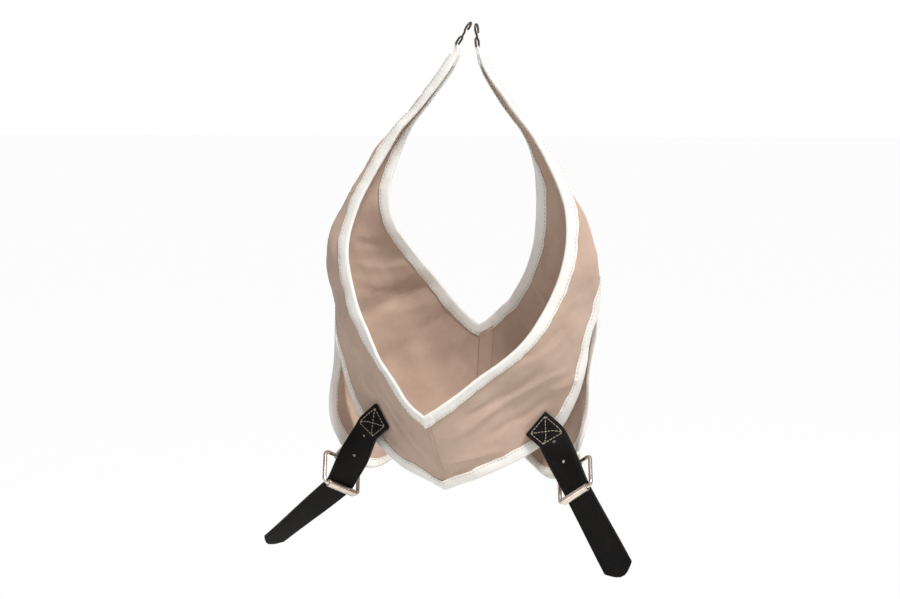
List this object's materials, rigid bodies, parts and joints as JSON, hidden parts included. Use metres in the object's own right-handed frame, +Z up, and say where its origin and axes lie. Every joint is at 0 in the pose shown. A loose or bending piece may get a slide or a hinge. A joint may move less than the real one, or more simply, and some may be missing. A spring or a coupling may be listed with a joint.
{
  "type": "harness sling bag",
  "caption": "Open-bottomed canvas sling of a front and a rear band on two hooked arms, with bound edges and two strap-and-roller-buckle closures.",
  "frame": {"origin": "hang point: middle between the two hook crowns", "axes": "+Z up along the hanging load, -Y towards the front band, +X to the object's right as seen from the front"},
  "size_m": [0.3294, 0.1456, 0.4581],
  "materials": {
    "canvas": "matt twill",
    "tape": "matt cotton tape",
    "leather": "satin, lightly worn",
    "nickel": "warm nickel plate",
    "steel": "dark wire"
  },
  "bodies": {
    "sling_body": {"arm_left": "canvas", "arm_right": "canvas", "front_panel_left": "canvas", "front_panel_right": "canvas", "rear_panel_left": "canvas", "rear_panel_right": "canvas", "mouth_binding_front": "tape", "mouth_binding_rear": "tape", "lower_binding_front": "tape", "lower_binding_rear": "tape", "hook_loop_left": "tape", "hook_loop_right": "tape", "buckle_tab_left": "tape", "buckle_tab_right": "tape", "strap_left": "leather", "strap_right": "leather"},
    "hook_left": {"hook_left": "steel"},
    "hook_right": {"hook_right": "steel"},
    "strap_tail_left": {"strap_tail_left": "leather"},
    "strap_tail_right": {"strap_tail_right": "leather"},
    "buckle_frame_left": {"buckle_frame_left": "nickel"},
    "buckle_frame_right": {"buckle_frame_right": "nickel"},
    "buckle_roller_left": {"buckle_roller_left": "nickel"},
    "buckle_roller_right": {"buckle_roller_right": "nickel"},
    "buckle_prong_left": {"buckle_prong_left": "nickel"},
    "buckle_prong_right": {"buckle_prong_right": "nickel"}
  },
  "joints": [
    {"name": "hook_swing_left", "type": "hinge", "parent": "sling_body", "child": "hook_left", "pos_m": [-0.0139, -0.003, -0.018], "axis": [0.0599, -0.9938, 0.0934], "range_deg": [-3, 70]},
    {"name": "frame_swing_left", "type": "hinge", "parent": "sling_body", "child": "buckle_frame_left", "pos_m": [-0.10747, -0.03974, -0.37625], "axis": [-0.6108, -0.6597, 0.4378], "range_deg": [0, 20]},
    {"name": "roller_spin_left", "type": "hinge", "parent": "buckle_frame_left", "child": "buckle_roller_left", "pos_m": [-0.10093, -0.06046, -0.39835], "axis": [-0.6108, -0.6597, 0.4378], "continuous": true},
    {"name": "prong_swing_left", "type": "hinge", "parent": "sling_body", "child": "buckle_prong_left", "pos_m": [-0.10747, -0.03974, -0.37625], "axis": [0.6108, 0.6597, -0.4378], "range_deg": [0, 40]},
    {"name": "tail_flex_left", "type": "hinge", "parent": "sling_body", "child": "strap_tail_left", "pos_m": [-0.1094, -0.05599, -0.40102], "axis": [-0.5147, -0.6766, 0.5266], "range_deg": [-7, 13], "stiffness_Nm_per_rad": 0.1},
    {"name": "hook_swing_right", "type": "hinge", "parent": "sling_body", "child": "hook_right", "pos_m": [0.0042, -0.003, -0.0207], "axis": [0.0168, 0.9834, -0.1809], "range_deg": [-3, 70]},
    {"name": "frame_swing_right", "type": "hinge", "parent": "sling_body", "child": "buckle_frame_right", "pos_m": [0.10212, -0.04711, -0.36943], "axis": [-0.7871, 0.252, -0.563], "range_deg": [0, 20]},
    {"name": "roller_spin_right", "type": "hinge", "parent": "buckle_frame_right", "child": "buckle_roller_right", "pos_m": [0.10848, -0.07049, -0.38877], "axis": [0.7871, -0.252, 0.563], "continuous": true},
    {"name": "prong_swing_right", "type": "hinge", "parent": "sling_body", "child": "buckle_prong_right", "pos_m": [0.10212, -0.04711, -0.36943], "axis": [0.7871, -0.252, 0.563], "range_deg": [0, 40]},
    {"name": "tail_flex_right", "type": "hinge", "parent": "sling_body", "child": "strap_tail_right", "pos_m": [0.11385, -0.06555, -0.39566], "axis": [0.8464, -0.2527, 0.4688], "range_deg": [-13, 13], "stiffness_Nm_per_rad": 0.1}
  ]
}
